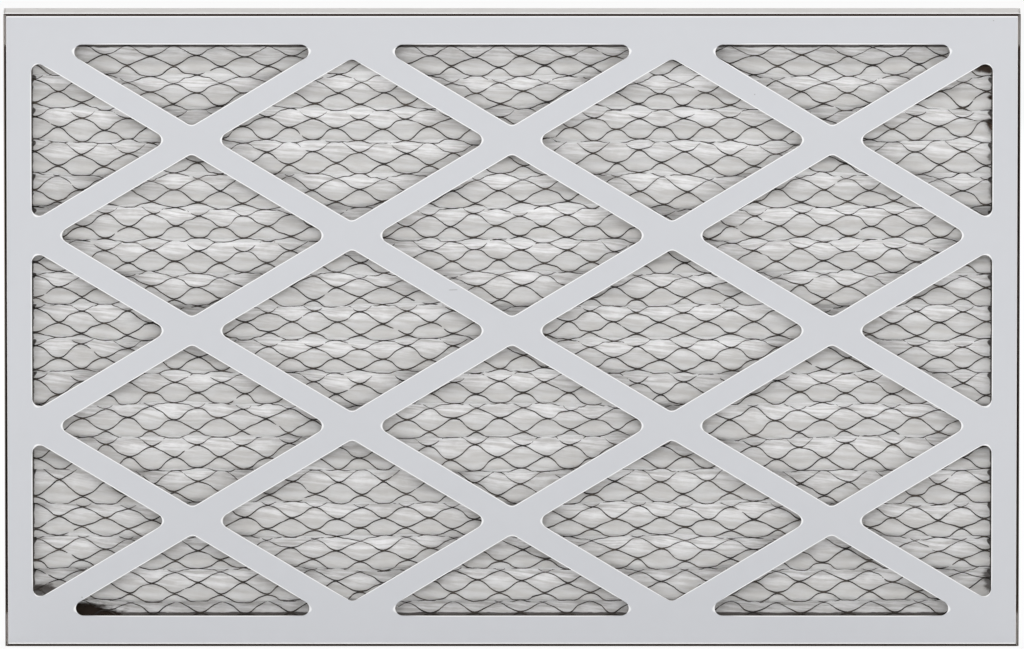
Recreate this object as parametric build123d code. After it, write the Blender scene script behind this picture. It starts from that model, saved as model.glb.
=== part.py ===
from build123d import *
from math import asin, atan2, cos, hypot, pi, sin, tan
import os

# Overall size of a nominal 16 x 25 x 1 inch panel, which is made small to slide into its slot
length = 622.3
height = 393.7
depth = 22.2

# Board of the two trays, each die-cut and folded up from one blank
board = 0.7
fold_radius = 0.9
nest_clearance = 0.1
tab_length = 22.0
tab_inset = 2.5
tab_taper = 3.0
seam_groove = 0.45

# Diamond lattice cut through the face of each tray
side_border = 17.0
rail_border = 19.0
cell_columns = 3
cell_rows = 3
strap_width = 14.7
window_radius = 4.7
rear_corner_cut = 4.0

# Fibre sheet: broad rounded crests to the front, and sharp valleys between them
pleat_count = 19
media_thickness = 2.0
crest_radius = 4.0
crest_recess = 2.8
pack_clearance = 0.3

# Expanded metal on the front of the sheet, with a strand for each pleat
wire_thickness = 0.5
wire_width = 0.7
wire_cells = 5
wire_bond = 5.0
wire_clearance = 0.05

# Both faces of the frame, and the inner tray that nests in the outer one
front_y = -depth / 2
rear_y = depth / 2
middle_z = height / 2
inner_length = length - 4 * (board + nest_clearance)
inner_height = height - 2 * (board + nest_clearance)
inner_depth = depth - board - nest_clearance

# Space that the inner tray and its tabs leave for the folded sheet
pack_length = inner_length - 2 * (2 * board + pack_clearance)
pack_height = inner_height - 2 * (board + pack_clearance)
pack_bottom = middle_z - pack_height / 2
pitch = pack_height / pleat_count
crest_y = front_y + board + crest_recess
valley_y = rear_y - board - crest_recess

# A flank starts at the sharp front of its valley and is tangent to the circle of its crest:
# flank_angle is counted from the depth axis, and each fold turns the sheet by twice fold_turn
crest_centre = crest_y + crest_radius
vee_y = valley_y - media_thickness
fold_run = vee_y - crest_centre
flank_angle = atan2(pitch / 2, fold_run) - asin(crest_radius / hypot(fold_run, pitch / 2))
fold_turn = pi / 2 - flank_angle


def window_outline(centre_x, centre_z, field_length, field_height):
    """One window: a lattice diamond less half a strap all round, clipped to the field."""
    half_x = field_length / cell_columns / 2
    half_z = field_height / cell_rows / 2
    shrink = 1 - strap_width / 2 * hypot(1 / half_x, 1 / half_z)
    reach_x = half_x * shrink
    reach_z = half_z * shrink
    diamond = Polygon(
        (centre_x - reach_x, centre_z),
        (centre_x, centre_z - reach_z),
        (centre_x + reach_x, centre_z),
        (centre_x, centre_z + reach_z),
        align=None,
    )
    return diamond & Rectangle(field_length, field_height)


def lattice_windows():
    """All windows with sharp corners: the straps cross at the centres and corners of the cells."""
    field_length = length - 2 * side_border
    field_height = height - 2 * rail_border
    step_x = field_length / cell_columns
    step_z = field_height / cell_rows
    windows = Sketch()
    for column in range(cell_columns + 1):
        for row in range(cell_rows):
            centre_x = column * step_x - field_length / 2
            centre_z = (row + 0.5) * step_z - field_height / 2
            windows += window_outline(centre_x, centre_z, field_length, field_height)
    for column in range(cell_columns):
        for row in range(cell_rows + 1):
            centre_x = (column + 0.5) * step_x - field_length / 2
            centre_z = row * step_z - field_height / 2
            windows += window_outline(centre_x, centre_z, field_length, field_height)
    return windows


def corner_tab(tray_length, tray_height, tray_depth):
    """Glue tab folded off a long wall, flat against the inside of the end wall."""
    root = tray_height / 2 - board / 2
    tip = root - tab_length
    low = board / 2
    high = tray_depth - tab_inset
    outline = Polygon(
        (low, root),
        (low, tip + tab_taper),
        (low + tab_taper, tip),
        (high - tab_taper, tip),
        (high, tip + tab_taper),
        (high, root),
        align=None,
    )
    return Pos(tray_length / 2 - 2 * board, 0, 0) * extrude(Plane.YZ * outline, board)


def corner_groove(tray_length, tray_height, tray_depth):
    """Vee left along a corner, where the cut edge of the end wall meets the folded long wall."""
    edge = tray_length / 2 - board
    top = tray_height / 2
    outline = Polygon(
        (edge, top + board),
        (edge - 2 * seam_groove, top + board),
        (edge - seam_groove, top),
        (edge, top - seam_groove),
        align=None,
    )
    return extrude(Plane.XZ * outline, -tray_depth)


def four_corners(piece):
    """A piece drawn at the top right corner, and its mirror images at the other three."""
    pair = [piece, mirror(piece, Plane.YZ)]
    return pair + [mirror(side, Plane.XY) for side in pair]


def folded_tray(tray_length, tray_height, tray_depth, windows):
    """Board tray: its face starts on the plane Y = 0 and its walls are folded towards +Y."""
    seat = (Align.CENTER, Align.MIN, Align.CENTER)
    outside = Box(tray_length, tray_depth, tray_height, align=seat)
    outside = fillet(outside.faces().sort_by(Axis.Y)[0].edges(), fold_radius)
    inside = Box(tray_length - 2 * board, tray_depth, tray_height - 2 * board, align=seat)
    tray = outside - Pos(0, board, 0) * inside
    tray += four_corners(corner_tab(tray_length, tray_height, tray_depth))
    tray -= four_corners(corner_groove(tray_length, tray_height, tray_depth))
    return tray - extrude(Plane.XZ * windows, -board)


def make_rear_frame():
    """Outer tray: its face is the back of the filter, and its walls reach the front plane."""
    windows = lattice_windows()
    tray = folded_tray(length, height, depth, chamfer(windows.vertices(), rear_corner_cut))
    return Pos(0, rear_y, middle_z) * Rot(0, 0, 180) * tray


def make_front_frame():
    """Inner tray, nested in the outer one with its face flush with the outer tray's rim."""
    windows = fillet(lattice_windows().vertices(), window_radius)
    tray = folded_tray(inner_length, inner_height, inner_depth, windows)
    return Pos(0, front_y, middle_z) * tray


def fold_arc(centre_y, centre_z, radius, start, end):
    """Arc of a fold in the section plane, between two angles counted from the depth axis."""
    angles = (start, (start + end) / 2, end)
    return ThreePointArc(*[(centre_y + radius * cos(a), centre_z + radius * sin(a)) for a in angles])


def sheet_front():
    """Front of the section: for each pleat a flank, the round crest and a flank back down."""
    edges = []
    for pleat in range(pleat_count):
        low = pleat * pitch
        high = low + pitch
        crest = fold_arc(crest_centre, low + pitch / 2, crest_radius, pi + fold_turn, pi - fold_turn)
        edges += [Line((vee_y, low), crest @ 0), crest, Line(crest @ 1, (vee_y, high))]
    return edges


def sheet_rear():
    """Back of the section: rounds of the sheet's thickness behind the valleys, flats in the crests."""
    rounds = [fold_arc(vee_y, 0, media_thickness, 0, fold_turn)]
    for fold in range(1, pleat_count):
        rounds.append(fold_arc(vee_y, fold * pitch, media_thickness, -fold_turn, fold_turn))
    rounds.append(fold_arc(vee_y, pack_height, media_thickness, -fold_turn, 0))
    flat_y = crest_y + media_thickness
    flat_z = media_thickness * cos(flank_angle)
    flat_z += (vee_y + media_thickness * sin(flank_angle) - flat_y) * tan(flank_angle)
    edges = list(rounds)
    for pleat in range(pleat_count):
        low = (flat_y, pleat * pitch + flat_z)
        high = (flat_y, (pleat + 1) * pitch - flat_z)
        edges += [Line(rounds[pleat] @ 1, low), Line(low, high), Line(high, rounds[pleat + 1] @ 0)]
    return edges


def make_pleated_media():
    """The folded fibre sheet, one section carried along the length of the pack."""
    cut_edges = [Line((vee_y, z), (valley_y, z)) for z in (0, pack_height)]
    section = make_face(sheet_front() + sheet_rear() + cut_edges)
    sheet = extrude(Plane.YZ * section, pack_length / 2, both=True)
    return Pos(0, 0, pack_bottom) * sheet


def roof_line(gap):
    """Points at one distance in front of all pleats: sharp in the valleys, flat on the crests."""
    valley = vee_y - gap / sin(flank_angle)
    crest = crest_y - gap
    rise = (valley - crest) * tan(flank_angle)
    points = []
    for pleat in range(pleat_count):
        low = pleat * pitch
        points += [(valley, low), (crest, low + rise), (crest, low + pitch - rise)]
    return points + [(valley, pack_height)]


def wire_skin():
    """Layer of the wire's thickness that lies on the front of the pleats."""
    inner = roof_line(wire_clearance)
    outer = roof_line(wire_clearance + wire_thickness)
    section = make_face(Polyline(*outer, *reversed(inner), close=True))
    return extrude(Plane.YZ * section, pack_length / 2, both=True)


def wire_strand(pleat):
    """Outline of one strand: it zigzags between two valleys and lies flat at each bond."""
    half_cell = pack_length / wire_cells / 2
    line = []
    for knot in range(2 * wire_cells + 1):
        knot_x = knot * half_cell - pack_length / 2
        knot_z = (pleat + (knot + pleat) % 2) * pitch
        line += [(knot_x - wire_bond / 2, knot_z), (knot_x + wire_bond / 2, knot_z)]
    upper = [(x, z + wire_width / 2) for x, z in line]
    lower = [(x, z - wire_width / 2) for x, z in line]
    return make_face(Polyline(*upper, *reversed(lower), close=True))


def make_wire_mesh():
    """Expanded metal: the strands of all pleats, joined at their bonds in the valleys."""
    strands = Sketch() + [wire_strand(pleat) for pleat in range(pleat_count)]
    curtain = extrude(Plane.XZ * strands, depth / 2, both=True)
    return Pos(0, 0, pack_bottom) * (wire_skin() & curtain)


def main():
    """Build the four pieces and write one file for each."""
    os.makedirs("parts", exist_ok=True)
    pieces = {
        "rear_frame": make_rear_frame(),
        "front_frame": make_front_frame(),
        "pleated_media": make_pleated_media(),
        "wire_mesh": make_wire_mesh(),
    }
    for name, piece in pieces.items():
        export_step(piece, f"parts/{name}.step")


main()
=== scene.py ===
"""Dresses the pleated panel air filter: its board trays, folded fibre sheet and wire mesh."""

from __future__ import annotations

import logging
import math
from dataclasses import dataclass, field
from enum import Enum

import bpy
import numpy as np
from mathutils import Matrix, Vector

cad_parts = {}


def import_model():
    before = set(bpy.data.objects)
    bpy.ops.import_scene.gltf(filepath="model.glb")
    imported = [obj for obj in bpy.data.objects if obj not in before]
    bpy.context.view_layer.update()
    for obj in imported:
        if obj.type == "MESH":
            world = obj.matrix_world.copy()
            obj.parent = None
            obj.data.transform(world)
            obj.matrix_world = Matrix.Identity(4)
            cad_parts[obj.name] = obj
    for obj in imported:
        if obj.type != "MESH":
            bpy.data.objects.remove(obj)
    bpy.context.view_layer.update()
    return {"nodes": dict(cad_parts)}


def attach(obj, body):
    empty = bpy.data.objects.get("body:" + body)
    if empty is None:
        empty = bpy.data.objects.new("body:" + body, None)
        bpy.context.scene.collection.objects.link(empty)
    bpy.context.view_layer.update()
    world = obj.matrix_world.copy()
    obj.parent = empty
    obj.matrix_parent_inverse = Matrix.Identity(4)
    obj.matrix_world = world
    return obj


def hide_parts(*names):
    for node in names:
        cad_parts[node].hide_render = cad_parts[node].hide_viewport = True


log = logging.getLogger("air filter")

# Sizes of the frame in metres, as its solids have them
LENGTH = 0.6223
HEIGHT = 0.3937
DEPTH = 0.0222
BOARD = 0.0007
SIDE_BORDER = 0.017
RAIL_BORDER = 0.019
LATTICE_CELLS = 3
STRAP = 0.0147
WINDOW_RADIUS = 0.0047
FRONT = -DEPTH / 2
REAR = DEPTH / 2
MIDDLE = HEIGHT / 2

MILLIMETRE = 0.001

Colour = tuple[float, float, float]
Point = tuple[float, float, float]
Span = tuple[float, float]


class Sock:
    """One output of a shader's node, with arithmetic that adds Math nodes."""

    def __init__(self, shader: Shader, socket: bpy.types.NodeSocket) -> None:
        """Keep the socket and the shader that it belongs to."""
        self.shader = shader
        self.socket = socket

    def math(self, operation: str, *others: Sock | float) -> Sock:
        """Add a Math node.

        Args:
            operation: The Math node's operation.
            others: Its second and third values.

        Returns:
            The node's output.
        """
        inputs = dict(enumerate((self, *others)))
        return self.shader.node("ShaderNodeMath", {"operation": operation}, inputs)

    def __add__(self, other: Sock | float) -> Sock:
        """The sum."""
        return self.math("ADD", other)

    __radd__ = __add__

    def __mul__(self, other: Sock | float) -> Sock:
        """The product."""
        return self.math("MULTIPLY", other)

    __rmul__ = __mul__

    def __sub__(self, other: Sock | float) -> Sock:
        """The difference."""
        return self.math("SUBTRACT", other)

    def __rsub__(self, other: float) -> Sock:
        """A number less this value."""
        return (self * -1.0).math("ADD", other)

    def __truediv__(self, other: Sock | float) -> Sock:
        """The quotient."""
        return self.math("DIVIDE", other)

    def __abs__(self) -> Sock:
        """The size without its sign."""
        return self.math("ABSOLUTE")

    def least(self, other: Sock | float) -> Sock:
        """The smaller of two values."""
        return self.math("MINIMUM", other)

    def most(self, other: Sock | float) -> Sock:
        """The larger of two values."""
        return self.math("MAXIMUM", other)

    def between(self, low: float, high: float) -> Sock:
        """Rise smoothly from 0 to 1.

        Args:
            low: Where the value is still 0; it may be more than high, and then the ramp falls.
            high: Where the value is 1.

        Returns:
            The smooth step.
        """
        settings = {"interpolation_type": "SMOOTHSTEP"}
        inputs = {0: self, 1: min(low, high), 2: max(low, high)}
        step = self.shader.node("ShaderNodeMapRange", settings, inputs)
        return step if low < high else 1.0 - step


class Shader:
    """A node material that is built up by expressions."""

    def __init__(self, name: str) -> None:
        """Make an empty material with a Principled surface."""
        self.material = bpy.data.materials.new(name)
        self.material.use_nodes = True
        self.tree = self.material.node_tree
        self.surface = self.tree.nodes["Principled BSDF"]

    def node(self, kind: str, settings: dict, inputs: dict, output: int | str = 0) -> Sock:
        """Add any node.

        Args:
            kind: The node's type name.
            settings: Its properties.
            inputs: Values or links by the socket's name or number.
            output: Which output is returned.

        Returns:
            The chosen output.
        """
        node = self.tree.nodes.new(kind)
        for name, value in settings.items():
            setattr(node, name, value)
        for name, value in inputs.items():
            self.feed(node.inputs[name], value)
        return Sock(self, node.outputs[output])

    def feed(self, socket: bpy.types.NodeSocket, value: Sock | float | tuple) -> None:
        """Link an output to a socket, or set the socket's own value."""
        if isinstance(value, Sock):
            self.tree.links.new(value.socket, socket)
        else:
            socket.default_value = value

    def mix(self, low: Sock | Colour, high: Sock | Colour, share: Sock | float) -> Sock:
        """Mix two colours.

        Args:
            low: The colour where share is 0.
            high: The colour where share is 1.
            share: From 0 to 1.

        Returns:
            The mixed colour.
        """
        low, high = ((*c, 1.0) if isinstance(c, tuple) else c for c in (low, high))
        # A Mix node's sockets 6 and 7, and its output 2, are those that carry colours
        inputs = {0: share, 6: low, 7: high}
        return self.node("ShaderNodeMix", {"data_type": "RGBA"}, inputs, 2)

    def place(self, output: str = "Object") -> Sock:
        """Object coordinates, or the piece's own UV map."""
        return self.node("ShaderNodeTexCoord", {}, {}, output)

    def axes(self, vector: Sock) -> tuple[Sock, Sock, Sock]:
        """The three parts of a vector."""
        first = self.node("ShaderNodeSeparateXYZ", {}, {0: vector})
        outputs = first.socket.node.outputs
        return tuple(Sock(self, outputs[i]) for i in range(3))

    def stretched(self, vector: Sock, turn: float, scale: Point) -> Sock:
        """A vector turned about its third axis, in degrees, and then scaled."""
        inputs = {"Vector": vector, "Rotation": (0.0, 0.0, math.radians(turn))}
        turned = self.node("ShaderNodeMapping", {}, inputs)
        return self.node("ShaderNodeMapping", {}, {"Vector": turned, "Scale": scale})

    def noise(
        self, vector: Sock, scale: float, detail: float = 3.0, roughness: float = 0.5
    ) -> Sock:
        """Fractal noise from 0 to 1.

        Args:
            vector: Where it is read.
            scale: Waves in a metre.
            detail: Octaves.
            roughness: Share of the fine ones.

        Returns:
            The noise.
        """
        inputs = {"Vector": vector, "Scale": scale, "Detail": detail, "Roughness": roughness}
        return self.node("ShaderNodeTexNoise", {}, inputs, "Fac")

    def bump(self, height: Sock, strength: float, distance: float) -> Sock:
        """Bend the normal by a height.

        Args:
            height: The height, about 0 to 1.
            strength: Share of the effect.
            distance: The height's real size in metres.

        Returns:
            The normal.
        """
        inputs = {"Height": height, "Strength": strength, "Distance": distance}
        return self.node("ShaderNodeBump", {}, inputs)

    def seen(self) -> Sock:
        """1 where the camera looks at the surface, itself or by a reflection."""
        camera, glossy, through = (
            self.node("ShaderNodeLightPath", {}, {}, f"Is {kind} Ray")
            for kind in ("Camera", "Glossy", "Transmission")
        )
        return camera.most(glossy).most(through)

    def whiten(self, share: float) -> None:
        """Let what is seen of the surface be white by a share, while its shadows stay.

        Args:
            share: From 0, the plain surface, to 1, plain white.
        """
        white = {"Color": (1.0, 1.0, 1.0, 1.0), "Strength": 1.0}
        glow = self.node("ShaderNodeEmission", {}, white)
        inputs = {0: self.seen() * share, 1: Sock(self, self.surface.outputs[0]), 2: glow}
        both = self.node("ShaderNodeMixShader", {}, inputs)
        self.feed(self.tree.nodes["Material Output"].inputs["Surface"], both)

    def finish(self, **sockets: Sock | float | tuple) -> bpy.types.Material:
        """Set the surface's sockets, whose names have _ for a space.

        Args:
            sockets: Values or links of the Principled surface.

        Returns:
            The material.
        """
        for name, value in sockets.items():
            self.feed(self.surface.inputs[name.replace("_", " ")], value)
        return self.material


def dress(piece: bpy.types.Object, material: bpy.types.Material) -> None:
    """Put one material in all of a piece's slots."""
    if not piece.material_slots:
        piece.data.materials.append(material)
    for place in piece.material_slots:
        place.material = material


class Tray(Enum):
    """The two trays of the frame, by the name of their node."""

    OUTER = "rear_frame"
    INNER = "front_frame"


@dataclass(frozen=True)
class CoatedBoard:
    """White clay-coated board whose brown inside shows at cut edges and on its plain side.

    coat is the printed side's colour, and wall that of the folded walls: their own warmer tone,
    made darker as painted shade. core_and_gap_shadow is near black: the front rim's cut edge
    together with the painted shadow in the gap between the two trays. inside is the colour of the
    plain side, crease a painted highlight along the window edges, the face's folded edge and the
    walls' front edge, and speck that of marks. Each span holds the two distances in metres between
    which one look turns into another.
    """

    coat: Colour = (0.60, 0.61, 0.638)
    # The walls' warmer tone, made darker as painted shade
    wall: Colour = (0.45, 0.435, 0.42)
    # Near black: the cut edge, and painted shadow in the gap between the trays
    core_and_gap_shadow: Colour = (0.030, 0.018, 0.013)
    inside: Colour = (0.33, 0.255, 0.19)
    # Painted highlight colour for the window edges and the folded edges
    crease: Colour = (0.95, 0.95, 0.95)
    speck: Colour = (0.25, 0.24, 0.23)
    highlight_offset: float = 0.0003
    highlight_span: Span = (0.0005, 0.0001)
    fold_highlight_offset: float = 0.0017
    fold_highlight_span: Span = (0.0006, 0.0002)
    plain_span: Span = (0.00042, 0.0005)
    side_shoulder: Span = (0.00112, 0.00102)
    rail_shoulder: Span = (0.00148, 0.00136)
    skin_share: float = 0.45
    skin_span: Span = (-0.00008, 0.0)
    wall_span: Span = (-0.0001, 0.0)
    bend_span: Span = (0.0006, 0.0012)
    rim_light: tuple[Span, Span] = ((0.0006, 0.0009), (0.0045, 0.0030))
    rim_dark: Span = (0.0007, 0.0005)
    rim_cut_and_shadow: Span = (0.0, 0.00008)
    rim_width: float = 0.00012
    left_narrowing_width: float = 0.00030
    left_narrowing_span: Span = (0.05, 0.25)
    specks: tuple[Point, ...] = (
        (-0.264, 0.0305, 0.0006),
        (0.1485, 0.3437, 0.0005),
        (0.2945, 0.3895, 0.0005),
    )
    scuff: tuple[float, float] = (-0.0360, 0.2223)

    def outline(self, shader: Shader, x: Sock, z: Sock) -> Sock:
        """Distance inside the windows' rounded outline.

        A lattice line runs where x / half cell + z / half cell is an even number, and so does the
        one that leans the other way. A window's edge is half a strap from a line, or on the border
        of the field. A smooth minimum joins the distances of two edges that meet. Its reach is
        6 radius (1 - sin(half the corner's angle)), so that the outline runs round the corner.

        Args:
            shader: Not used.
            x: Place along the length.
            z: Place above the middle.

        Returns:
            The distance, negative on the board.
        """
        half_x = (LENGTH / 2 - SIDE_BORDER) / LATTICE_CELLS
        half_z = (HEIGHT / 2 - RAIL_BORDER) / LATTICE_CELLS
        slope = math.hypot(1 / half_x, 1 / half_z)
        lean = math.atan2(half_z, half_x)

        def reach(half_angle: float) -> float:
            """Reach of the smooth minimum at a corner."""
            return 6 * WINDOW_RADIUS * (1 - math.sin(half_angle))

        # An even number of half cells is added, because the node's modulo keeps the sign
        from_middle = [
            (x / half_x + z * (sign / half_z) + 20.0).math("MODULO", 2.0) - 1.0
            for sign in (1.0, -1.0)
        ]
        rising, falling = ((1.0 - abs(m)) / slope - STRAP / 2 for m in from_middle)
        side_tip = (from_middle[0] * from_middle[1]).math("GREATER_THAN", 0.0)
        blunt = reach(math.pi / 2 - lean)
        inside = rising.math("SMOOTH_MIN", falling, side_tip * (reach(lean) - blunt) + blunt)
        rail = (HEIGHT / 2 - RAIL_BORDER) - abs(z)
        side = (LENGTH / 2 - SIDE_BORDER) - abs(x)
        inside = inside.math("SMOOTH_MIN", rail, reach(lean / 2))
        return inside.math("SMOOTH_MIN", side, reach(math.pi / 4 - lean / 2))

    def marks(self, x: Sock, z: Sock) -> Sock:
        """Small dark specks and one faint scuff on the face.

        Args:
            x: Place along the length.
            z: Place above the bottom edge.

        Returns:
            How dark they are, from 0 to 1.
        """
        at_x, at_z = self.scuff
        line = abs(z - at_z - (x - at_x) * 0.05).between(0.0006, 0.0001)
        dark = line * abs(x - at_x).between(0.0032, 0.0018) * 0.45
        for at_x, at_z, size in self.specks:
            away = ((x - at_x) * (x - at_x) + (z - at_z) * (z - at_z)).math("SQRT")
            dark = dark.most(away.between(size, size * 0.4) * 0.7)
        return dark

    def inner(self, shader: Shader, place: tuple[Sock, Sock, Sock], coat: Sock) -> Sock:
        """Colour of the inner tray: its coated face, painted highlights on its edges, marks, and a
        painted shadow on its shoulder.

        Args:
            shader: Where the nodes go.
            place: Object coordinates.
            coat: Colour of the coated side.

        Returns:
            The colour.
        """
        x, y, z = place
        to_side = (LENGTH / 2) - abs(x)
        to_rail = (HEIGHT / 2) - abs(z - MIDDLE)
        # Painted highlights: a light line by the windows' cut edges, and one along the face's
        # folded edge
        cut = abs(self.outline(shader, x, z - MIDDLE) + self.highlight_offset).between(*self.highlight_span)
        fold = abs(to_side.least(to_rail) - self.fold_highlight_offset).between(*self.fold_highlight_span)
        colour = shader.mix(coat, self.crease, cut.most(fold) * 0.8)
        colour = shader.mix(colour, self.speck, self.marks(x, z))
        colour = shader.mix(colour, self.inside, abs(y - FRONT).between(*self.plain_span))
        # Painted shadow: the shoulder is near black for the shade in the gap between the trays
        shoulder_gap_shadow = to_side.between(*self.side_shoulder).most(to_rail.between(*self.rail_shoulder))
        return shader.mix(colour, self.core_and_gap_shadow, shoulder_gap_shadow)

    def outer(
        self, shader: Shader, place: tuple[Sock, Sock, Sock], coat: Sock, wall: Sock
    ) -> Sock:
        """Colour of the outer tray: its coated back and walls, a painted highlight along the walls'
        front edge, and the cut rim in front, near black for the cut edge and for painted shadow in
        the gap between the trays.

        Args:
            shader: Where the nodes go.
            place: Object coordinates.
            coat: Colour of the coated back.
            wall: Colour of the walls.

        Returns:
            The colour.
        """
        x, y, z = place
        skin = BOARD * self.skin_share
        side = abs(x) - (LENGTH / 2 - skin)
        in_wall = side.most(abs(z - MIDDLE) - (HEIGHT / 2 - skin))
        from_back = abs(y - REAR)
        # The walls take the wall colour: their warmer tone with painted shade
        walls = in_wall.between(*self.wall_span) * from_back.between(*self.bend_span)
        outside = shader.mix(coat, wall, walls)
        coated = in_wall.between(*self.skin_span).most(from_back.between(*self.plain_span[::-1]))
        colour = shader.mix(self.inside, outside, coated)
        from_front = y - FRONT
        # Painted highlight: a light band along the walls' front edge
        rises, falls = (from_front.between(*span) for span in self.rim_light)
        colour = shader.mix(colour, self.crease, rises * falls * 0.7)
        # Cut edge and painted shadow: the rim is near black, in a narrower band on the left from
        # about 5 cm up
        left_narrowing = x.math("LESS_THAN", 0.0) * z.between(*self.left_narrowing_span)
        skin = left_narrowing * self.left_narrowing_width + self.rim_width
        cut_edge_and_gap_shadow = ((LENGTH / 2) - abs(x) - skin).between(*self.rim_cut_and_shadow)
        return shader.mix(colour, self.core_and_gap_shadow, from_front.between(*self.rim_dark) * cut_edge_and_gap_shadow)

    def material(self, tray: Tray) -> bpy.types.Material:
        """Build the finish of one tray.

        Args:
            tray: Which of the two.

        Returns:
            The material.
        """
        shader = Shader(f"coated_board_{tray.value}")
        vector = shader.place()
        place = shader.axes(vector)
        mottle = shader.noise(vector, 90.0, 4.0, 0.6)
        cloud = shader.noise(vector, 9.0, 2.0)
        fibre = shader.noise(shader.stretched(vector, 0.0, (1.0, 1.0, 2.5)), 900.0, 2.0)
        dull_coat = tuple(c * 0.93 for c in self.coat)
        coat = shader.mix(self.coat, dull_coat, mottle * 0.35 + cloud * 0.45)
        if tray is Tray.INNER:
            colour = self.inner(shader, place, coat)
        else:
            dull_wall = tuple(c * 0.9 for c in self.wall)
            wall = shader.mix(self.wall, dull_wall, mottle * 0.5 + cloud * 0.5)
            colour = self.outer(shader, place, coat, wall)
        return shader.finish(
            Base_Color=colour,
            Roughness=mottle * 0.12 + 0.5,
            Normal=shader.bump(mottle * 0.4 + fibre * 0.6, 0.25, 0.00012),
            Specular_IOR_Level=0.35,
        )


class Ripple:
    """Seeded smooth noise of two variables: a sum of plane waves, about -1 to 1."""

    def __init__(self, seed: int, waves_x: Span, waves_s: Span, count: int = 10) -> None:
        """Draw the waves.

        Args:
            seed: The random seed.
            waves_x: Shortest and longest wave along the first variable.
            waves_s: The same along the second one.
            count: How many waves are added.
        """
        draw = np.random.default_rng(seed)
        self.along = 2 * math.pi / draw.uniform(*waves_x, count) * draw.choice((-1.0, 1.0), count)
        self.across = 2 * math.pi / draw.uniform(*waves_s, count)
        self.phase = draw.uniform(0, 2 * math.pi, count)
        self.share = 1.2 / math.sqrt(count)

    def __call__(self, x: np.ndarray, s: np.ndarray) -> np.ndarray:
        """Add up the waves at each place."""
        total = np.zeros(np.broadcast(x, s).shape)
        for along, across, phase in zip(self.along, self.across, self.phase):
            total += np.sin(along * x + across * s + phase)
        return total * self.share


class Wander:
    """Seeded smooth noise along x, with its own waves for each fold, about -1 to 1."""

    def __init__(self, seed: int, folds: int, waves: Span, count: int = 6) -> None:
        """Draw each fold's waves.

        Args:
            seed: The random seed.
            folds: How many folds there are.
            waves: Shortest and longest wave.
            count: How many waves are added.
        """
        draw = np.random.default_rng(seed)
        self.along = 2 * math.pi / draw.uniform(*waves, (count, folds))
        self.phase = draw.uniform(0, 2 * math.pi, (count, folds))
        self.count = count

    def __call__(self, fold: np.ndarray, x: np.ndarray) -> np.ndarray:
        """Add up the waves of the fold at each place."""
        total = np.zeros(np.broadcast(fold, x).shape)
        for along, phase in zip(self.along, self.phase):
            total += np.sin(along[fold] * x + phase[fold])
        return total / math.sqrt(self.count)


@dataclass(frozen=True)
class Dent:
    """A crushed place in the folds: a bell of a width and height, pushed back and up."""

    x: float
    z: float
    width: float
    height: float
    back: float
    up: float

    def weight(self, x: np.ndarray, z: np.ndarray) -> np.ndarray:
        """The bell exp(-(x / width)^2 - (z / height)^2) about its middle."""
        return np.exp(-(((x - self.x) / self.width) ** 2) - ((z - self.z) / self.height) ** 2)


def mesh_piece(
    name: str, points: np.ndarray, quads: np.ndarray, flat: np.ndarray | None = None
) -> bpy.types.Object:
    """Make an object from points and quads.

    Args:
        name: The piece's name.
        points: One row of x, y, z a point.
        quads: One row of four point numbers a face, counter-clockwise from outside.
        flat: True for each face that isn't shaded smooth.

    Returns:
        The object, in the scene.
    """
    mesh = bpy.data.meshes.new(name)
    mesh.vertices.add(len(points))
    mesh.vertices.foreach_set("co", points.astype(np.float32).ravel())
    mesh.loops.add(quads.size)
    mesh.loops.foreach_set("vertex_index", quads.astype(np.int32).ravel())
    mesh.polygons.add(len(quads))
    mesh.polygons.foreach_set("loop_start", np.arange(0, quads.size, 4, dtype=np.int32))
    smooth = np.ones(len(quads), bool) if flat is None else ~flat
    mesh.polygons.foreach_set("use_smooth", smooth)
    mesh.update(calc_edges=True)
    mesh.validate()
    piece = bpy.data.objects.new(name, mesh)
    bpy.context.scene.collection.objects.link(piece)
    return piece


@dataclass(frozen=True)
class Lattice:
    """Layout of the expanded metal's cells on the sheet.

    cell is the length of one along the folds, and first_knot the place of a knot there, in
    metres. rows is how many rows of cells the sheet's front would hold from its bottom to its top,
    and first_row is where the first one starts. stretch is how many rows the mesh is pulled
    upwards, at places that lie evenly from the bottom to the top.
    """

    cell: float = 0.02842
    rows: float = 71.5
    first_row: float = 0.875
    first_knot: float = -0.0079
    stretch: tuple[float, ...] = (
        0.43, 0.30, 0.05, -0.30, -0.55, -0.50, -0.25, -0.10, 0.10, 0.10,
        -0.05, 0.12, 0.10, 0.0, 0.03, 0.0, 0.0, -0.08, 0.0, 0.0,
    )

    def cushion(self, x: np.ndarray, share: np.ndarray) -> np.ndarray:
        """1 in the middle of each cell and -1 at its knots: the product of two cosines.

        Args:
            x: Place along the folds.
            share: Place across the folds, from 0 to 1.

        Returns:
            The cushion.
        """
        row = share * self.rows - self.first_row - self.shift(share)
        return np.cos(np.pi * row) * np.cos(2 * np.pi * (x - self.first_knot) / self.cell)

    def shift(self, share: np.ndarray) -> np.ndarray:
        """How many rows the mesh is stretched upwards at a share of its length from the bottom."""
        return np.interp(share, np.linspace(0, 1, len(self.stretch)), self.stretch)


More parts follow.
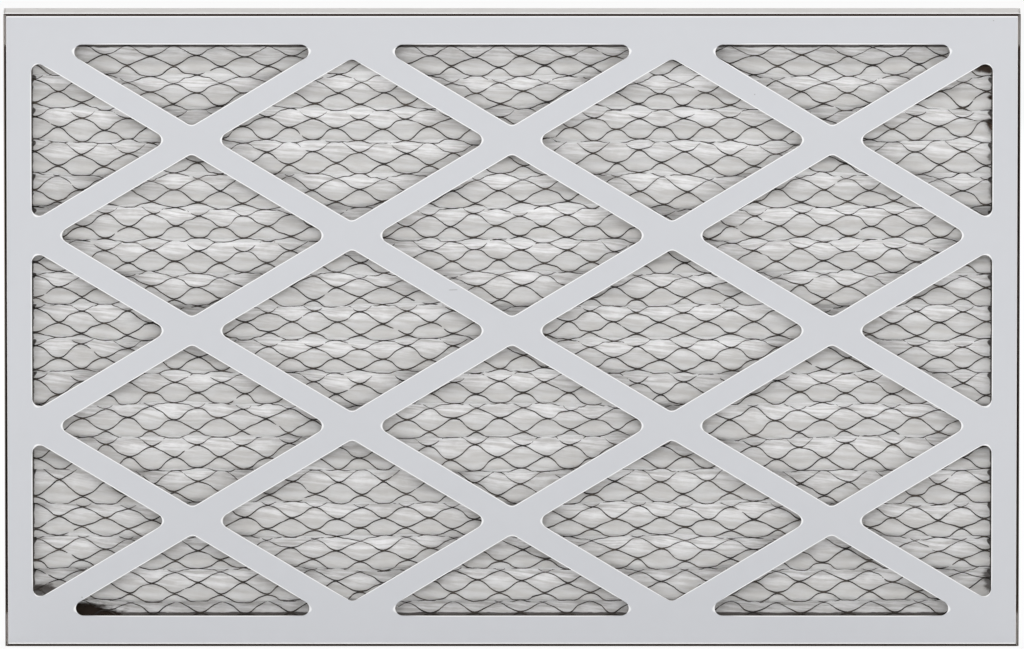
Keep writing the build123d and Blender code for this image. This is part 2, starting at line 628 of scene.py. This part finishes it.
@dataclass
class FoldedSheet:
    """The folded fibre sheet, as the middle of its thickness and a distance from it.

    One section goes from the sharp valley to the round crest and back: an arc behind the valley, a
    straight flank that is tangent to both arcs, and an arc round the crest.

    Lengths are in metres. valley_centre is the depth of the valley's arc, and crest_front that of
    the crest's front. plump, crease and drape say how far the surface bulges along a flank,
    creases and hangs. fill is how far fluff brings a valley's front forward, and cushion how far
    the fibre swells in a cell of the mesh. sag is how far the crests hang, and the wanders say how
    far the folds stray. Valleys rise by end_rise at the left end, over end_reach. valley_shift is
    how far each valley lies above its even place, in millimetres. steps are the faces along a
    valley's arc, a flank and a crest's arc, and measured is how many places a length is measured
    at.
    """

    length: float = 0.6157
    height: float = 0.3901
    pleats: int = 19
    thickness: float = 0.002
    valley_centre: float = 0.0056
    crest_front: float = -0.0076
    crest_radius: float = 0.0024
    valley_radius: float = 0.0026
    plump: float = 0.0002
    crease: float = 0.0004
    drape: float = 0.0003
    fill: float = 0.0060
    cushion: float = 0.0008
    sag: float = 0.0020
    valley_wander: float = 0.0011
    crest_wander: float = 0.0009
    depth_wander: float = 0.0007
    end_rise: float = 0.0013
    end_reach: float = 0.05
    lattice: Lattice = Lattice()
    columns: int = 104
    steps: tuple[int, int, int] = (2, 7, 3)
    measured: int = 4001
    valley_shift: tuple[float, ...] = (
        0.0, 3.3, 2.1, 0.9, 2.1, 1.8, 1.7, 1.6, 0.5, 0.6,
        1.6, 0.7, 0.4, 0.2, 0.2, 0.1, 0.0, -0.7, -0.5, 0.0,
    )
    dents: tuple[Dent, ...] = (
        Dent(0.278, 0.3340, 0.014, 0.0070, 0.0015, -0.0045),
        Dent(0.290, 0.3225, 0.009, 0.0060, 0.0090, 0.0030),
        Dent(0.291, 0.0400, 0.009, 0.0080, 0.0070, 0.0030),
        Dent(-0.259, 0.0215, 0.016, 0.0050, 0.0100, 0.0010),
        Dent(-0.285, 0.0350, 0.010, 0.0050, 0.0060, 0.0015),
    )
    noises: dict[str, Wander | Ripple] = field(init=False)

    def __post_init__(self) -> None:
        """Work out the section's tangent angle and lengths, and draw the noises."""
        self.pitch = self.height / self.pleats
        self.bottom = MIDDLE - self.height / 2
        crest_centre = self.crest_front + self.thickness / 2 + self.crest_radius
        run = self.valley_centre - crest_centre
        rise = self.pitch / 2
        apart = math.hypot(run, rise)
        radii = self.valley_radius + self.crest_radius
        lean = math.atan2(rise, run) - math.asin(radii / apart)
        self.turn = math.pi / 2 - lean
        self.valley_arc = self.valley_radius * self.turn
        self.crest_arc = self.crest_radius * self.turn
        self.flank = math.sqrt(apart**2 - radii**2)
        self.half = self.valley_arc + self.flank + self.crest_arc
        self.noises = {
            "valley": Wander(11, self.pleats + 1, (0.045, 0.24)),
            "crest": Wander(12, self.pleats, (0.05, 0.28)),
            "depth": Wander(13, self.pleats, (0.10, 0.50)),
            "plump": Ripple(14, (0.05, 0.30), (1.1, 4.0)),
            "crease": Ripple(15, (0.035, 0.14), (0.16, 0.42), 14),
            "drape": Ripple(16, (0.03, 0.09), (0.5, 1.6), 12),
        }

    def section(self, share: np.ndarray) -> tuple[np.ndarray, ...]:
        """The even section between a valley and a crest.

        The angle counts from the depth axis. It grows along the valley's arc to turn, stays so
        along the flank, and falls to 0 along the crest's arc. The point is the valley's centre plus
        radius (cos, sin) of the first arc, the flank's run, and the change of the second arc.

        Args:
            share: From 0 at the valley to 1 at the crest.

        Returns:
            The depth, the height above the valley, the angle, and a sine along the flank.
        """
        run = share * self.half
        first = np.minimum(run / self.valley_radius, self.turn)
        middle = np.clip(run - self.valley_arc, 0, self.flank)
        beyond = np.clip(run - self.valley_arc - self.flank, 0, None)
        last = self.turn - beyond / self.crest_radius
        cosine, sine = math.cos(self.turn), math.sin(self.turn)
        y = self.valley_centre + self.valley_radius * np.cos(first) - middle * sine
        y += self.crest_radius * (cosine - np.cos(last))
        z = self.valley_radius * np.sin(first) + middle * cosine
        z += self.crest_radius * (sine - np.sin(last))
        return y, z, first + last - self.turn, np.sin(np.pi * middle / self.flank)

    def relief(
        self, s: np.ndarray, x: np.ndarray, share: np.ndarray, bow: np.ndarray
    ) -> np.ndarray:
        """How far the surface stands off its even section.

        Args:
            s: Place across the folds, in pleats from the bottom.
            x: Place along the folds.
            share: From 0 at a valley to 1 at a crest.
            bow: A sine along the flank.

        Returns:
            The plumpness of the flanks, plus creases, plus a drape that grows to the crests.
        """
        plump = self.plump * bow * (1 + 0.55 * self.noises["plump"](x, s))
        crease = self.crease * self.noises["crease"](x, s) * (0.25 + 0.75 * bow)
        return plump + crease + self.drape * self.noises["drape"](x, s) * share

    def valley_rise(self, valley: np.ndarray, x: np.ndarray) -> np.ndarray:
        """How far a valley lies above its even place, which the sheet's two ends keep."""
        rise = np.asarray(self.valley_shift)[valley] * MILLIMETRE
        rise = rise + self.valley_wander * self.noises["valley"](valley, x)
        rise = rise + self.end_rise * np.exp(-(((x + self.length / 2) / self.end_reach) ** 2))
        return np.where((valley == 0) | (valley == self.pleats), 0.0, rise)

    def place(self, s: np.ndarray, x: np.ndarray, lift: np.ndarray | float) -> np.ndarray:
        """Points of the sheet.

        The even section is lifted along its normal by the relief. Folds wander up and down with a
        smooth share from valley to crest, and crests sag. Fluff fills the front of a valley, where
        it moves the surface to the front by fill times 1 - share. Last come the crests' dents.

        Args:
            s: Place across the folds, in pleats from the bottom.
            x: Place along the folds, in metres.
            lift: Distance from the middle of the sheet to the front, in metres.

        Returns:
            The points, with x, y, z last.
        """
        s, x = np.broadcast_arrays(np.asarray(s, float), np.asarray(x, float))
        fold = np.clip(np.floor(s).astype(int), 0, self.pleats - 1)
        part = s - fold
        valley = fold + (part >= 0.5)
        up = np.where(part < 0.5, 1.0, -1.0)
        share = 1 - np.abs(2 * part - 1)
        y, z, angle, bow = self.section(share)
        off = lift + self.relief(s, x, share, bow)
        y = y - np.cos(angle) * off
        z = valley * self.pitch + up * z - np.sin(angle) * up * off
        crest = share * share * (3 - 2 * share)
        hang = self.crest_wander * self.noises["crest"](fold, x) - self.sag
        z = self.bottom + z + (1 - crest) * self.valley_rise(valley, x) + crest * hang
        y = y + crest * self.depth_wander * (0.4 + self.noises["depth"](fold, x))
        y = y - self.fill * (1 - share) * (lift > 0)
        bells = [dent.weight(x, z) * crest for dent in self.dents]
        for dent, bell in zip(self.dents, bells):
            y = y + bell * dent.back
            z = z + bell * dent.up
        return np.stack([x, y, z], axis=-1)

    def grid(self) -> np.ndarray:
        """Places across the folds, in pleats, where lengths are measured."""
        return np.linspace(0, self.pleats, self.measured)

    def developed(self) -> float:
        """Length of the sheet laid flat, by the middle of its thickness and without the fluff."""
        return 2 * self.half * self.pleats

    def front_run(self) -> np.ndarray:
        """Shares of the front's own length below each place of the grid."""
        front = self.place(self.grid(), 0.0, self.thickness / 2)
        run = np.append(0.0, np.cumsum(np.linalg.norm(np.diff(front, axis=0), axis=1)))
        return run / run[-1]

    def evenly(self, share: np.ndarray) -> np.ndarray:
        """Places across the folds, in pleats, at shares of the front's own length."""
        return np.interp(share, self.front_run(), self.grid())

    def front_share(self, s: np.ndarray) -> np.ndarray:
        """Shares of the front's own length from the bottom, at places in pleats."""
        return np.interp(s, self.grid(), self.front_run())

    def rows(self) -> np.ndarray:
        """Places across the folds where the mesh has its rows, close together at the bends."""
        valley, flank, crest = self.steps
        run = np.concatenate([
            np.linspace(0, self.valley_arc, valley, endpoint=False),
            self.valley_arc + np.linspace(0, self.flank, flank, endpoint=False),
            self.valley_arc + self.flank + np.linspace(0, self.crest_arc, crest, endpoint=False),
        ]) / (2 * self.half)
        one = np.concatenate([run, [0.5], 1 - run[:0:-1]])
        return np.append((np.arange(self.pleats)[:, None] + one).ravel(), self.pleats)

    def chart(self, piece: bpy.types.Object, across: np.ndarray, rows: np.ndarray) -> None:
        """Give the piece a UV map in metres.

        Args:
            piece: The sheet.
            across: Places of its columns along the folds, which are the map's U.
            rows: Places of its rows in pleats, which are the map's V by the developed length.
        """
        spread = np.concatenate([rows, rows[::-1]]) * 2 * self.half
        grid = np.stack(np.broadcast_arrays(across[:, None], spread[None]), axis=-1).reshape(-1, 2)
        corner = np.empty(len(piece.data.loops), np.int32)
        piece.data.loops.foreach_get("vertex_index", corner)
        chart = piece.data.uv_layers.new(name="sheet")
        chart.data.foreach_set("uv", grid[corner].astype(np.float32).ravel())

    def build(self) -> bpy.types.Object:
        """Carry the closed outline of both sides along the length, and close its two ends.

        Returns:
            The sheet, with a UV map of x and of developed length in metres.
        """
        rows = self.rows()
        across = np.linspace(-self.length / 2, self.length / 2, self.columns)
        front, back = (
            self.place(rows[None], across[:, None], side * self.thickness / 2) for side in (1, -1)
        )
        swell = self.lattice.cushion(across[:, None], self.front_share(rows)[None])
        front[..., 1] -= self.cushion * swell
        loop = np.concatenate([front, back[:, ::-1]], axis=1)
        count = loop.shape[1]
        here = np.arange((self.columns - 1) * count).reshape(self.columns - 1, count)
        ahead = np.roll(here, -1, axis=1)
        skin = np.stack([here, here + count, ahead + count, ahead], axis=-1).reshape(-1, 4)
        step = np.arange(len(rows) - 1)
        cap = np.stack([step, step + 1, count - 2 - step, count - 1 - step], axis=-1)
        last = cap[:, ::-1] + (self.columns - 1) * count
        quads = np.concatenate([skin, cap, last])
        # The two ends and the two cut edges are flat, and the sides are smooth
        flat = np.arange(len(quads)) >= len(skin)
        flat[: len(skin)] = np.isin(np.arange(len(skin)) % count, (len(rows) - 1, count - 1))
        piece = mesh_piece("pleated_sheet", loop.reshape(-1, 3), quads, flat)
        self.chart(piece, across, rows)
        return piece


@dataclass(frozen=True)
class ShadowPocket:
    """A painted shadow on the sheet, dark brown, in a pocket where it has come away from the board.

    half_x and half_z are half its sizes, depth how dark it is, and lean its slope.
    """

    x: float
    z: float
    half_x: float
    half_z: float
    depth: float = 1.0
    lean: float = 0.0


@dataclass(frozen=True)
class FibreFinish:
    """Fluffy bonded fibre, with streaks along the folds and soft tufts, and painted light: whiter
    in the folds' depth and on the lower flanks, and grey at the crests, as if lit through the sheet
    from behind.

    A near-black painted shadow lies where the sheet meets the border, and further in where a fold's
    valley ends.
    The reaches say how far in it shows, and ragged how far its line strays, in metres.
    """

    # Painted light: white for the valleys, grey for the crests
    valley_painted_light: Colour = (0.97, 0.97, 0.98)
    crest: Colour = (0.51, 0.51, 0.51)
    shade: Colour = (0.42, 0.405, 0.385)
    # Near black: the painted shadows along the border and in the pockets
    border_shadow: Colour = (0.030, 0.021, 0.016)
    valley_reach: float = 0.0016
    top_reach: float = 0.0028
    bottom_reach: float = 0.0011
    ragged: float = 0.0016
    shadow_pockets: tuple[ShadowPocket, ...] = (
        ShadowPocket(0.2950, 0.3225, 0.0062, 0.0055),
        ShadowPocket(0.2950, 0.3410, 0.0040, 0.0020),
        ShadowPocket(0.2935, 0.3615, 0.0130, 0.0055),
        ShadowPocket(0.2955, 0.3040, 0.0045, 0.0040, 0.6),
        ShadowPocket(0.2955, 0.2820, 0.0040, 0.0050, 0.5),
        ShadowPocket(0.2950, 0.0400, 0.0060, 0.0085, 0.75),
        ShadowPocket(-0.2620, 0.0195, 0.0330, 0.0062, 1.0, -0.12),
        ShadowPocket(-0.2900, 0.0335, 0.0120, 0.0040, 0.9),
    )

    def material(self, sheet: FoldedSheet) -> bpy.types.Material:
        """Build the finish.

        Args:
            sheet: The sheet, whose chart is in metres of x and of developed length.

        Returns:
            The material.
        """
        shader = Shader("bonded_fibre")
        chart = shader.place("UV")
        part = (shader.axes(chart)[1] / (2 * sheet.half)).math("FRACT")
        share = 1.0 - abs(part * 2.0 - 1.0)
        streak = shader.noise(shader.stretched(chart, 7.0, (1.0, 9.0, 1.0)), 38.0, 5.0, 0.6)
        threads = shader.noise(shader.stretched(chart, -9.0, (1.0, 12.0, 1.0)), 170.0, 4.0, 0.65)
        tufts = shader.noise(chart, 150.0, 4.0, 0.6)
        tone = streak.between(0.62, 0.38) * 0.44 + tufts.between(0.7, 0.4) * 0.14 + threads * 0.14
        # Painted light: white in the valleys, grey at the crests, and less of the darker streaks on
        # the lower flanks
        under = part.math("LESS_THAN", 0.5)
        lower_flank_painted_light = under * share.between(0.90, 0.60) * share.between(0.0, 0.12)
        crest_painted_shade = under * share.between(0.65, 1.0) + (1.0 - under) * share.between(0.05, 0.95)
        colour = shader.mix(self.valley_painted_light, self.crest, crest_painted_shade)
        colour = shader.mix(colour, self.shade, tone * (1.0 - lower_flank_painted_light * 0.42))
        colour = shader.mix(colour, self.border_shadow, self.brown(shader, share, streak, tufts))
        height = streak * 0.45 + threads * 0.35 + tufts * 0.35
        return shader.finish(
            Base_Color=colour,
            Roughness=0.95,
            Normal=shader.bump(height, 0.6, 0.0011),
            Specular_IOR_Level=0.1,
            Subsurface_Weight=0.8,
            Subsurface_Radius=(1.0, 1.0, 1.0),
            Subsurface_Scale=0.012,
        )

    def brown(self, shader: Shader, share: Sock, streak: Sock, tufts: Sock) -> Sock:
        """Where painted shadow shows: in a ragged line along the border, and in the pockets.

        Args:
            shader: Where the nodes go.
            share: From 0 at a valley to 1 at a crest.
            streak: Noise of the streaks.
            tufts: Noise of the tufts.

        Returns:
            How much of it shows, from 0 to 1.
        """
        x, _, z = shader.axes(shader.place())
        side = abs(x) - (LENGTH / 2 - SIDE_BORDER) + share.between(0.30, 0.0) * self.valley_reach
        top = z - (HEIGHT - RAIL_BORDER - self.top_reach)
        bottom = (RAIL_BORDER - 0.0001) - share.between(0.6, 0.2) * self.bottom_reach - z
        edge = side.most(top).most(bottom) + (tufts + streak) * self.ragged
        # Painted shadow along the border
        brown = edge.between(0.0003, 0.0010) * edge.between(0.0042, 0.0030) * 0.85
        # Painted shadow in each pocket
        for stain in self.shadow_pockets:
            off_x = (x - stain.x) / stain.half_x
            off_z = (z - stain.z - (x - stain.x) * stain.lean) / stain.half_z
            away = (off_x * off_x + off_z * off_z).math("SQRT") + (streak + tufts - 1.0) * 1.1
            brown = brown.most(away.between(1.15, 0.55) * stain.depth)
        return brown


@dataclass
class ExpandedWire:
    """Expanded metal that is bonded to the front of the folded sheet.

    A strand is a zigzag between two rows of knots, and neighbouring strands touch at the knots.

    samples is how many points a strand has in a cell, and end_gap how far it stays from the ends
    of the sheet, in metres. drift and jog are how far it strays along the folds. sway is how far it
    strays across them, and margin how far it stays from the sheet's edges, in pleats. stand_off is
    how far it stands off the fibre, buried how far the fluff takes it in, and stagger keeps two
    strands that touch off the same plane.
    """

    sheet: FoldedSheet
    width: float = 0.00054
    thickness: float = 0.00045
    samples: int = 16
    end_gap: float = 0.0008
    drift: float = 0.0008
    jog: float = 0.0003
    sway: float = 0.008
    stand_off: float = 0.00014
    buried: float = 0.0011
    stagger: float = 0.00001
    margin: float = 0.004

    def __post_init__(self) -> None:
        """Work out half a strand's width in pleats."""
        self.aside = 0.5 * self.width / (2 * self.sheet.half)

    def middles(self) -> tuple[np.ndarray, np.ndarray, np.ndarray]:
        """Middle lines of the strands.

        A strand's middle is a wave along x, part triangle and part cosine, between its two rows of
        knots. Smooth noise of x and of the row shifts it both ways, the same for two strands where
        they touch.

        Returns:
            The strand's number, its places across the folds in pleats, and those along them.
        """
        sheet, lattice = self.sheet, self.sheet.lattice
        reach = (sheet.length / 2 - self.end_gap) / lattice.cell * self.samples
        start = lattice.first_knot / lattice.cell * self.samples
        step = np.arange(math.ceil(-reach - start), math.floor(reach - start) + 1)
        phase = step[None] / self.samples
        x = lattice.first_knot + phase * lattice.cell
        strand = np.arange(int(lattice.rows - lattice.first_row))[:, None]
        phase = phase + 0.5 * (strand % 2)
        part = np.abs(2 * (phase - np.floor(phase)) - 1)
        wave = 0.1 * part + 0.9 * (0.5 - 0.5 * np.cos(np.pi * part))
        row = strand + wave
        drift = Ripple(21, (0.12, 0.5), (9.0, 40.0))
        sway = Ripple(22, (0.05, 0.25), (0.6, 2.5))
        jog = Ripple(24, (0.04, 0.12), (1.0, 3.0))
        inside = 1 - (x / (sheet.length / 2)) ** 8
        x = x + inside * (self.drift * drift(x, row) + self.jog * jog(x, row))
        along = (row + lattice.first_row) / lattice.rows
        s = sheet.evenly(along + lattice.shift(along) / lattice.rows)
        # Two strands that touch lie side by side, not in each other
        s = s + 0.8 * self.aside * (1 - 2 * wave) + self.sway * sway(x, row)
        return strand, np.clip(s, self.margin, sheet.pleats - self.margin), x

    def fluff(self, s: np.ndarray, x: np.ndarray) -> np.ndarray:
        """How much of a strand the fibre covers: in patches by the valleys, and at one dent.

        Args:
            s: Place across the folds, in pleats.
            x: Place along the folds.

        Returns:
            From 0, where it lies on the fibre, to 1, where it is hidden.
        """
        cover = Ripple(23, (0.006, 0.03), (0.25, 0.9), 16)
        part = s - np.floor(s)
        near = 1 - np.abs(2 * part - 1)
        above = np.where(part < 0.5, 1.0, 0.35)
        fluff = np.clip(cover(x, s) + 0.15, 0, 1) * above * np.exp(-((near - 0.10) / 0.12) ** 2)
        fluff = fluff + 0.5 * np.clip(cover(x * 0.7, s + 3.0) - 1.0, 0, 1)
        z = self.sheet.place(s, x, 0.0)[..., 2]
        return np.clip(fluff + 0.45 * self.sheet.dents[0].weight(x, z), 0, 1)

    def build(self) -> bpy.types.Object:
        """Carry a four-cornered section along each strand.

        The section's corners are half a width to each side across the folds, and half a thickness
        to the front and back.

        Returns:
            All strands in one piece.
        """
        strand, s, x = self.middles()
        lift = self.sheet.thickness / 2 + self.stand_off - self.buried * self.fluff(s, x)
        lift = lift + self.stagger * (strand % 2)
        corners = [
            self.sheet.place(
                np.clip(s + side * self.aside, 0.0, self.sheet.pleats),
                x,
                lift + out * self.thickness / 2,
            )
            for side, out in ((-1, 1), (1, 1), (1, -1), (-1, -1))
        ]
        points = np.stack(corners, axis=2)
        index = np.arange(points.size // 3).reshape(points.shape[:3])
        turned = np.roll(index, -1, axis=2)
        skin = np.stack([index[:, :-1], turned[:, :-1], turned[:, 1:], index[:, 1:]], axis=-1)
        ends = [index[:, 0, ::-1], index[:, -1]]
        quads = np.concatenate([skin.reshape(-1, 4), *ends])
        return mesh_piece("expanded_wire", points.reshape(-1, 3), quads)


@dataclass(frozen=True)
class WireFinish:
    """Dull dark steel, a little browner in places."""

    steel: Colour = (0.024, 0.021, 0.019)
    stain: Colour = (0.075, 0.062, 0.050)

    def material(self) -> bpy.types.Material:
        """Build the finish.

        Returns:
            The material.
        """
        shader = Shader("dull_steel_wire")
        patch = shader.noise(shader.place(), 120.0, 3.0)
        colour = shader.mix(self.steel, self.stain, patch.between(0.35, 0.7))
        grain = shader.noise(shader.place(), 2500.0, 2.0)
        return shader.finish(
            Base_Color=colour,
            Roughness=patch * 0.2 + 0.45,
            Metallic=0.35,
            Normal=shader.bump(grain, 0.3, 0.0001),
        )


@dataclass
class Studio:
    """Plain pale floor, soft light from above the front and the rear, and the camera.

    The camera stands elevation degrees above the level and distance metres away. What it sees is
    view_width metres wide, and its middle is aim_up above the filter's. world_level is the
    strength of the light from all round.
    """

    elevation: float = 10.2
    distance: float = 16.0
    view_width: float = 0.6275
    aim_up: float = 0.00385
    sensor: float = 36.0
    floor_reach: float = 9.0
    world_level: float = 0.80

    def camera(self) -> bpy.types.Object:
        """Stand a long lens far in front of the face, a little above it.

        Returns:
            The camera.
        """
        data = bpy.data.cameras.new("camera")
        data.sensor_width = self.sensor
        data.lens = self.sensor * self.distance / self.view_width
        data.clip_end = 100.0
        eye = bpy.data.objects.new("camera", data)
        angle = math.radians(self.elevation)
        back = Vector((0.0, -math.cos(angle), math.sin(angle)))
        eye.location = Vector((0.0, FRONT, MIDDLE + self.aim_up)) + back * self.distance
        eye.rotation_euler = (math.pi / 2 - angle, 0.0, 0.0)
        bpy.context.scene.collection.objects.link(eye)
        bpy.context.scene.camera = eye
        return eye

    def lamp(self, name: str, place: Point, size: Span, power: float) -> bpy.types.Object:
        """A soft rectangular lamp that looks at the middle of the filter.

        Args:
            name: The lamp's name.
            place: Where it hangs.
            size: Its width and height.
            power: Its power in watts.

        Returns:
            The lamp.
        """
        data = bpy.data.lights.new(name, "AREA")
        data.shape = "RECTANGLE"
        data.size, data.size_y = size
        data.energy = power
        lamp = bpy.data.objects.new(name, data)
        lamp.location = place
        aim = Vector((0.0, 0.0, MIDDLE)) - Vector(place)
        lamp.rotation_euler = aim.to_track_quat("-Z", "Y").to_euler()
        lamp.visible_camera = False
        bpy.context.scene.collection.objects.link(lamp)
        return lamp

    def floor(self) -> bpy.types.Object:
        """A wide pale floor at the filter's bottom edge.

        Returns:
            The floor.
        """
        side = np.linspace(-self.floor_reach, self.floor_reach, 5)
        x, y = np.meshgrid(side, side, indexing="ij")
        points = np.stack([x, y, np.zeros_like(x)], axis=-1).reshape(-1, 3)
        index = np.arange(x.size).reshape(x.shape)
        quads = np.stack([index[:-1, :-1], index[1:, :-1], index[1:, 1:], index[:-1, 1:]], axis=-1)
        piece = mesh_piece("studio_floor", points, quads.reshape(-1, 4))
        shader = Shader("pale_floor")
        speckle = shader.noise(shader.place(), 4.0, 2.0)
        dress(piece, shader.finish(
            Base_Color=shader.mix((0.84, 0.84, 0.84), (0.81, 0.81, 0.81), speckle),
            Roughness=0.9,
            Specular_IOR_Level=0.1,
        ))
        shader.whiten(0.88)
        return piece

    def world(self) -> None:
        """Even light from all round, and white where the camera or a reflection sees it."""
        world = bpy.data.worlds.new("studio")
        bpy.context.scene.world = world
        world.use_nodes = True
        tree = world.node_tree
        tree.nodes.clear()
        rays = tree.nodes.new("ShaderNodeLightPath")
        seen = rays.outputs["Is Camera Ray"]
        for name in ("Is Glossy Ray", "Is Transmission Ray"):
            either = tree.nodes.new("ShaderNodeMath")
            either.operation = "MAXIMUM"
            tree.links.new(seen, either.inputs[0])
            tree.links.new(rays.outputs[name], either.inputs[1])
            seen = either.outputs[0]
        backgrounds = []
        for strength in (self.world_level, 1.0):
            background = tree.nodes.new("ShaderNodeBackground")
            background.inputs["Color"].default_value = (1.0, 1.0, 1.0, 1.0)
            background.inputs["Strength"].default_value = strength
            backgrounds.append(background)
        chosen = tree.nodes.new("ShaderNodeMixShader")
        output = tree.nodes.new("ShaderNodeOutputWorld")
        tree.links.new(seen, chosen.inputs[0])
        tree.links.new(backgrounds[0].outputs[0], chosen.inputs[1])
        tree.links.new(backgrounds[1].outputs[0], chosen.inputs[2])
        tree.links.new(chosen.outputs[0], output.inputs["Surface"])

    def build(self) -> None:
        """Set up the floor, the light and the camera."""
        self.camera()
        self.floor()
        self.world()
        self.lamp("soft_top", (0.0, -1.6, 0.85), (2.4, 1.2), 12.0)
        self.lamp("soft_rear", (0.0, 1.7, 0.7), (2.4, 1.2), 18.0)
        bpy.context.scene.view_settings.view_transform = "Standard"


def triangles(piece: bpy.types.Object) -> int:
    """How many triangles a piece has."""
    piece.data.calc_loop_triangles()
    return len(piece.data.loop_triangles)


def main() -> None:
    """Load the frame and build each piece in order."""
    logging.basicConfig(level=logging.INFO, format="%(name)s: %(message)s")
    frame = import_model()
    Studio().build()
    board = CoatedBoard()
    for tray in Tray:
        dress(frame["nodes"][tray.value], board.material(tray))
        log.info("%s has its board finish", tray.value)
    sheet = FoldedSheet()
    media = sheet.build()
    dress(media, FibreFinish().material(sheet))
    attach(media, "root")
    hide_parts("pleated_media")
    sheet.developed()
    log.info("folded sheet: %d triangles, %.3f m laid flat", triangles(media), sheet.developed())
    wire = ExpandedWire(sheet).build()
    dress(wire, WireFinish().material())
    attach(wire, "root")
    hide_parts("wire_mesh")
    log.info("expanded wire: %d triangles", triangles(wire))


if __name__ == "__main__":
    main()
